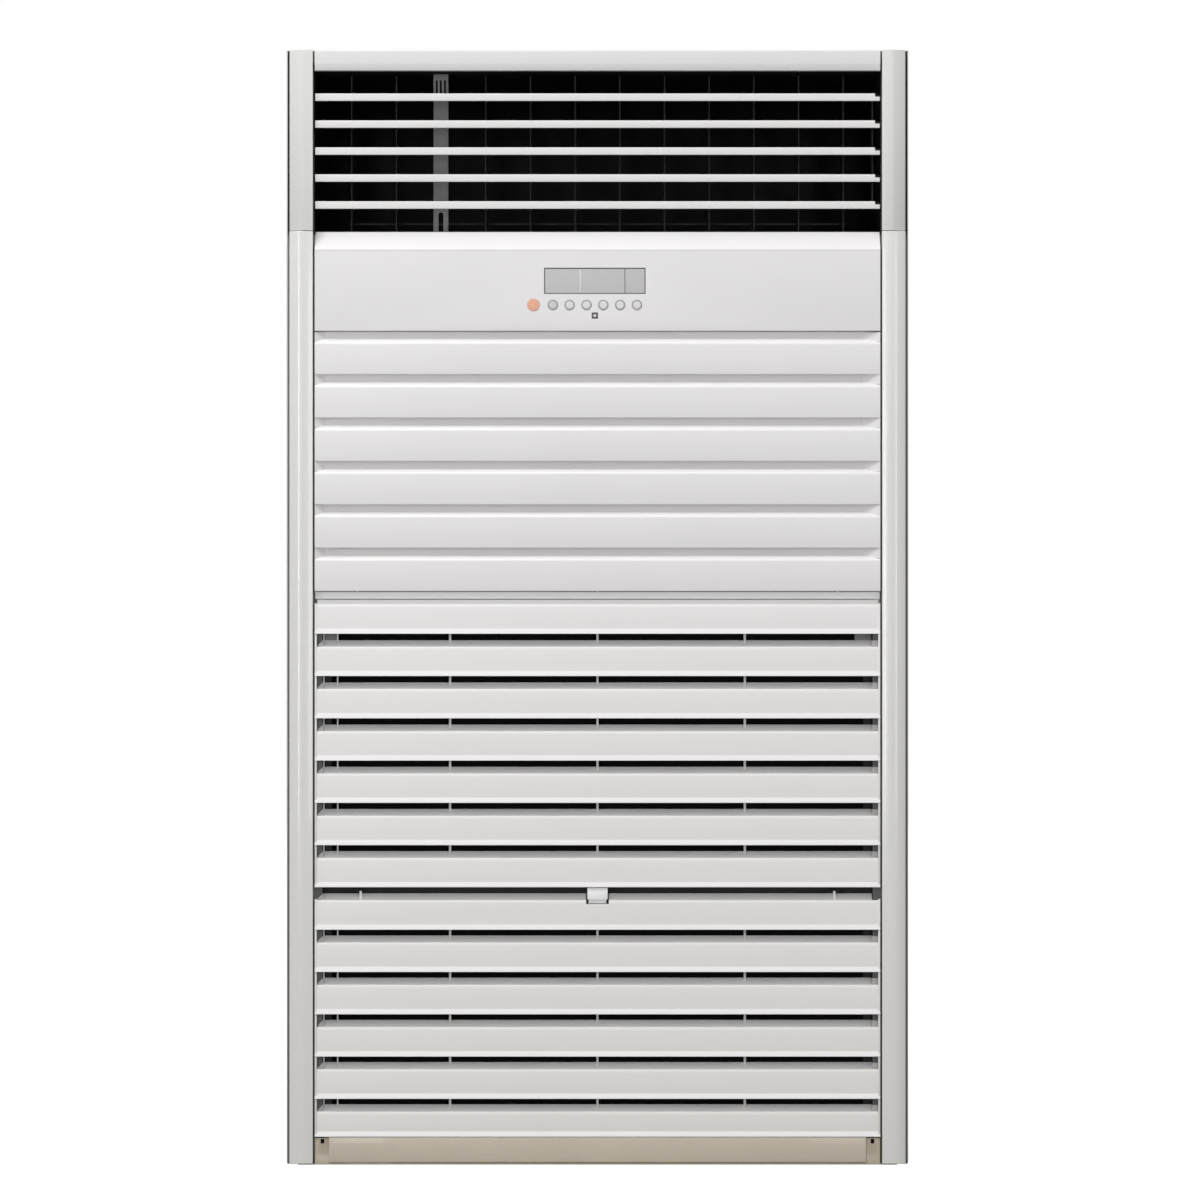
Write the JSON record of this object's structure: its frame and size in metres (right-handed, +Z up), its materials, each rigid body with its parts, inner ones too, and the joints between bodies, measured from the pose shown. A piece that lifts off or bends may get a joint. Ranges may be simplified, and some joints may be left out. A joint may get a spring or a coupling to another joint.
{
  "type": "floor standing air conditioner",
  "caption": "Tall floor standing air conditioner with tilting louvers, swinging vanes, a push-button panel, hinged intake grilles, filters, coil and twin blowers.",
  "frame": {"origin": "middle of the base's outline, on the floor", "axes": "+Z up, +X to the viewer's right, the front with grilles and louvers faces -Y"},
  "size_m": [1.05, 0.495, 1.88],
  "materials": {
    "cabinet_paint": "satin",
    "front_plastic": "satin",
    "grille_plastic": "satin",
    "base_steel": "satin",
    "kick_paint": "satin",
    "screw_steel": "zinc plated",
    "display_glass": "polished",
    "circuit_board": "satin",
    "pan_plastic": "moulded",
    "coil_aluminium": "bare fins",
    "copper": "drawn copper",
    "galvanised_steel": "galvanised",
    "duct_plastic": "matt black",
    "brace_steel": "satin",
    "motor_aluminium": "cast",
    "link_plastic": "moulded",
    "shaft_steel": "ground",
    "wheel_plastic": "moulded",
    "filter_plastic": "woven mesh",
    "power_button": "gloss",
    "louver_plastic": "satin",
    "vane_plastic": "satin",
    "button_plastic": "gloss"
  },
  "bodies": {
    "cabinet": {"base_pan": "base_steel", "kick_panel": "kick_paint", "side_panel_left": "cabinet_paint", "side_panel_right": "cabinet_paint", "rear_panel": "cabinet_paint", "top_panel": "cabinet_paint", "screws": "screw_steel", "trim_upper_left": "front_plastic", "trim_upper_right": "front_plastic", "trim_lower_left": "front_plastic", "trim_lower_right": "front_plastic", "outlet_header": "front_plastic", "control_panel": "front_plastic", "display_window": "display_glass", "display_board": "circuit_board", "blind_panel": "front_plastic", "intake_frame": "grille_plastic", "drain_pan": "pan_plastic", "evaporator_coil": "coil_aluminium", "refrigerant_pipes": "copper", "control_box": "galvanised_steel", "control_board": "circuit_board", "outlet_duct": "duct_plastic", "outlet_brace": "brace_steel", "swing_motor": "galvanised_steel", "blower_deck": "galvanised_steel", "blower_scrolls": "galvanised_steel", "blower_motor": "motor_aluminium", "shaft_bearings": "galvanised_steel"},
    "louver_1": {"louver_1": "louver_plastic"},
    "louver_2": {"louver_2": "louver_plastic"},
    "louver_3": {"louver_3": "louver_plastic"},
    "louver_4": {"louver_4": "louver_plastic"},
    "louver_5": {"louver_5": "louver_plastic"},
    "louver_link": {"louver_link": "link_plastic"},
    "vane_1": {"vane_1": "vane_plastic"},
    "vane_2": {"vane_2": "vane_plastic"},
    "vane_3": {"vane_3": "vane_plastic"},
    "vane_4": {"vane_4": "vane_plastic"},
    "vane_5": {"vane_5": "vane_plastic"},
    "vane_6": {"vane_6": "vane_plastic"},
    "vane_7": {"vane_7": "vane_plastic"},
    "vane_8": {"vane_8": "vane_plastic"},
    "vane_9": {"vane_9": "vane_plastic"},
    "vane_10": {"vane_10": "vane_plastic"},
    "vane_11": {"vane_11": "vane_plastic"},
    "vane_link": {"vane_link": "link_plastic"},
    "button_power": {"button_power": "power_button"},
    "button_mode": {"button_mode": "button_plastic"},
    "button_warmer": {"button_warmer": "button_plastic"},
    "button_cooler": {"button_cooler": "button_plastic"},
    "button_fan": {"button_fan": "button_plastic"},
    "button_swing": {"button_swing": "button_plastic"},
    "button_timer": {"button_timer": "button_plastic"},
    "grille_upper": {"grille_upper": "grille_plastic"},
    "grille_lower": {"grille_lower": "grille_plastic"},
    "filter_upper": {"filter_upper": "filter_plastic"},
    "filter_lower": {"filter_lower": "filter_plastic"},
    "fan_rotor": {"fan_shaft": "shaft_steel", "fan_wheels": "wheel_plastic"}
  },
  "joints": [
    {"name": "louver_1_tilt", "type": "hinge", "parent": "cabinet", "child": "louver_1", "pos_m": [0, -0.205, 1.80095], "axis": [1, 0, 0], "range_deg": [-25, 25]},
    {"name": "louver_2_tilt", "type": "hinge", "parent": "cabinet", "child": "louver_2", "pos_m": [0, -0.205, 1.75545], "axis": [1, 0, 0], "range_deg": [-25, 25]},
    {"name": "louver_3_tilt", "type": "hinge", "parent": "cabinet", "child": "louver_3", "pos_m": [0, -0.205, 1.70995], "axis": [1, 0, 0], "range_deg": [-25, 25]},
    {"name": "louver_4_tilt", "type": "hinge", "parent": "cabinet", "child": "louver_4", "pos_m": [0, -0.205, 1.66445], "axis": [1, 0, 0], "range_deg": [-25, 25]},
    {"name": "louver_5_tilt", "type": "hinge", "parent": "cabinet", "child": "louver_5", "pos_m": [0, -0.205, 1.61895], "axis": [1, 0, 0], "range_deg": [-25, 25]},
    {"name": "louver_link_pivot", "type": "hinge", "parent": "louver_3", "child": "louver_link", "pos_m": [0.46625, -0.181, 1.70995], "axis": [1, 0, 0], "range_deg": [-25, 25]},
    {"name": "vane_1_swing", "type": "hinge", "parent": "cabinet", "child": "vane_1", "pos_m": [-0.418, -0.14, 1.70995], "axis": [0, 0, 1], "range_deg": [-30, 30]},
    {"name": "vane_2_swing", "type": "hinge", "parent": "cabinet", "child": "vane_2", "pos_m": [-0.342, -0.14, 1.70995], "axis": [0, 0, 1], "range_deg": [-30, 30]},
    {"name": "vane_3_swing", "type": "hinge", "parent": "cabinet", "child": "vane_3", "pos_m": [-0.19, -0.14, 1.70995], "axis": [0, 0, 1], "range_deg": [-30, 30]},
    {"name": "vane_4_swing", "type": "hinge", "parent": "cabinet", "child": "vane_4", "pos_m": [-0.114, -0.14, 1.70995], "axis": [0, 0, 1], "range_deg": [-30, 30]},
    {"name": "vane_5_swing", "type": "hinge", "parent": "cabinet", "child": "vane_5", "pos_m": [-0.038, -0.14, 1.70995], "axis": [0, 0, 1], "range_deg": [-30, 30]},
    {"name": "vane_6_swing", "type": "hinge", "parent": "cabinet", "child": "vane_6", "pos_m": [0.038, -0.14, 1.70995], "axis": [0, 0, 1], "range_deg": [-30, 30]},
    {"name": "vane_7_swing", "type": "hinge", "parent": "cabinet", "child": "vane_7", "pos_m": [0.114, -0.14, 1.70995], "axis": [0, 0, 1], "range_deg": [-30, 30]},
    {"name": "vane_8_swing", "type": "hinge", "parent": "cabinet", "child": "vane_8", "pos_m": [0.19, -0.14, 1.70995], "axis": [0, 0, 1], "range_deg": [-30, 30]},
    {"name": "vane_9_swing", "type": "hinge", "parent": "cabinet", "child": "vane_9", "pos_m": [0.266, -0.14, 1.70995], "axis": [0, 0, 1], "range_deg": [-30, 30]},
    {"name": "vane_10_swing", "type": "hinge", "parent": "cabinet", "child": "vane_10", "pos_m": [0.342, -0.14, 1.70995], "axis": [0, 0, 1], "range_deg": [-30, 30]},
    {"name": "vane_11_swing", "type": "hinge", "parent": "cabinet", "child": "vane_11", "pos_m": [0.418, -0.14, 1.70995], "axis": [0, 0, 1], "range_deg": [-30, 30]},
    {"name": "vane_link_pivot", "type": "hinge", "parent": "vane_6", "child": "vane_link", "pos_m": [0.038, -0.105, 1.595], "axis": [0, 0, 1], "range_deg": [-30, 30]},
    {"name": "button_power_press", "type": "slide", "parent": "cabinet", "child": "button_power", "axis": [0, 1, 0], "range_m": [0, 0.0012], "stiffness_N_per_m": 800, "springref_m": -0.0005},
    {"name": "button_mode_press", "type": "slide", "parent": "cabinet", "child": "button_mode", "axis": [0, 1, 0], "range_m": [0, 0.0012], "stiffness_N_per_m": 800, "springref_m": -0.0005},
    {"name": "button_warmer_press", "type": "slide", "parent": "cabinet", "child": "button_warmer", "axis": [0, 1, 0], "range_m": [0, 0.0012], "stiffness_N_per_m": 800, "springref_m": -0.0005},
    {"name": "button_cooler_press", "type": "slide", "parent": "cabinet", "child": "button_cooler", "axis": [0, 1, 0], "range_m": [0, 0.0012], "stiffness_N_per_m": 800, "springref_m": -0.0005},
    {"name": "button_fan_press", "type": "slide", "parent": "cabinet", "child": "button_fan", "axis": [0, 1, 0], "range_m": [0, 0.0012], "stiffness_N_per_m": 800, "springref_m": -0.0005},
    {"name": "button_swing_press", "type": "slide", "parent": "cabinet", "child": "button_swing", "axis": [0, 1, 0], "range_m": [0, 0.0012], "stiffness_N_per_m": 800, "springref_m": -0.0005},
    {"name": "button_timer_press", "type": "slide", "parent": "cabinet", "child": "button_timer", "axis": [0, 1, 0], "range_m": [0, 0.0012], "stiffness_N_per_m": 800, "springref_m": -0.0005},
    {"name": "grille_upper_hinge", "type": "hinge", "parent": "cabinet", "child": "grille_upper", "pos_m": [0, -0.222, 0.961], "axis": [-1, 0, 0], "range_deg": [0, 45]},
    {"name": "grille_lower_hinge", "type": "hinge", "parent": "cabinet", "child": "grille_lower", "pos_m": [0, -0.222, 0.4619], "axis": [-1, 0, 0], "range_deg": [0, 45]},
    {"name": "filter_upper_lift", "type": "slide", "parent": "cabinet", "child": "filter_upper", "axis": [0, 0, 1], "range_m": [0, 0.02]},
    {"name": "filter_lower_lift", "type": "slide", "parent": "cabinet", "child": "filter_lower", "axis": [0, 0, 1], "range_m": [0, 0.02]},
    {"name": "fan_rotor_spin", "type": "hinge", "parent": "cabinet", "child": "fan_rotor", "pos_m": [0, 0.015, 1.325], "axis": [1, 0, 0], "continuous": true}
  ],
  "couplings": [
    {"joint": "louver_1_tilt", "follows": "louver_3_tilt", "ratio": 1},
    {"joint": "louver_2_tilt", "follows": "louver_3_tilt", "ratio": 1},
    {"joint": "louver_4_tilt", "follows": "louver_3_tilt", "ratio": 1},
    {"joint": "louver_5_tilt", "follows": "louver_3_tilt", "ratio": 1},
    {"joint": "louver_link_pivot", "follows": "louver_3_tilt", "ratio": -1},
    {"joint": "vane_1_swing", "follows": "vane_6_swing", "ratio": 1},
    {"joint": "vane_2_swing", "follows": "vane_6_swing", "ratio": 1},
    {"joint": "vane_3_swing", "follows": "vane_6_swing", "ratio": 1},
    {"joint": "vane_4_swing", "follows": "vane_6_swing", "ratio": 1},
    {"joint": "vane_5_swing", "follows": "vane_6_swing", "ratio": 1},
    {"joint": "vane_7_swing", "follows": "vane_6_swing", "ratio": 1},
    {"joint": "vane_8_swing", "follows": "vane_6_swing", "ratio": 1},
    {"joint": "vane_9_swing", "follows": "vane_6_swing", "ratio": 1},
    {"joint": "vane_10_swing", "follows": "vane_6_swing", "ratio": 1},
    {"joint": "vane_11_swing", "follows": "vane_6_swing", "ratio": 1},
    {"joint": "vane_link_pivot", "follows": "vane_6_swing", "ratio": -1}
  ]
}
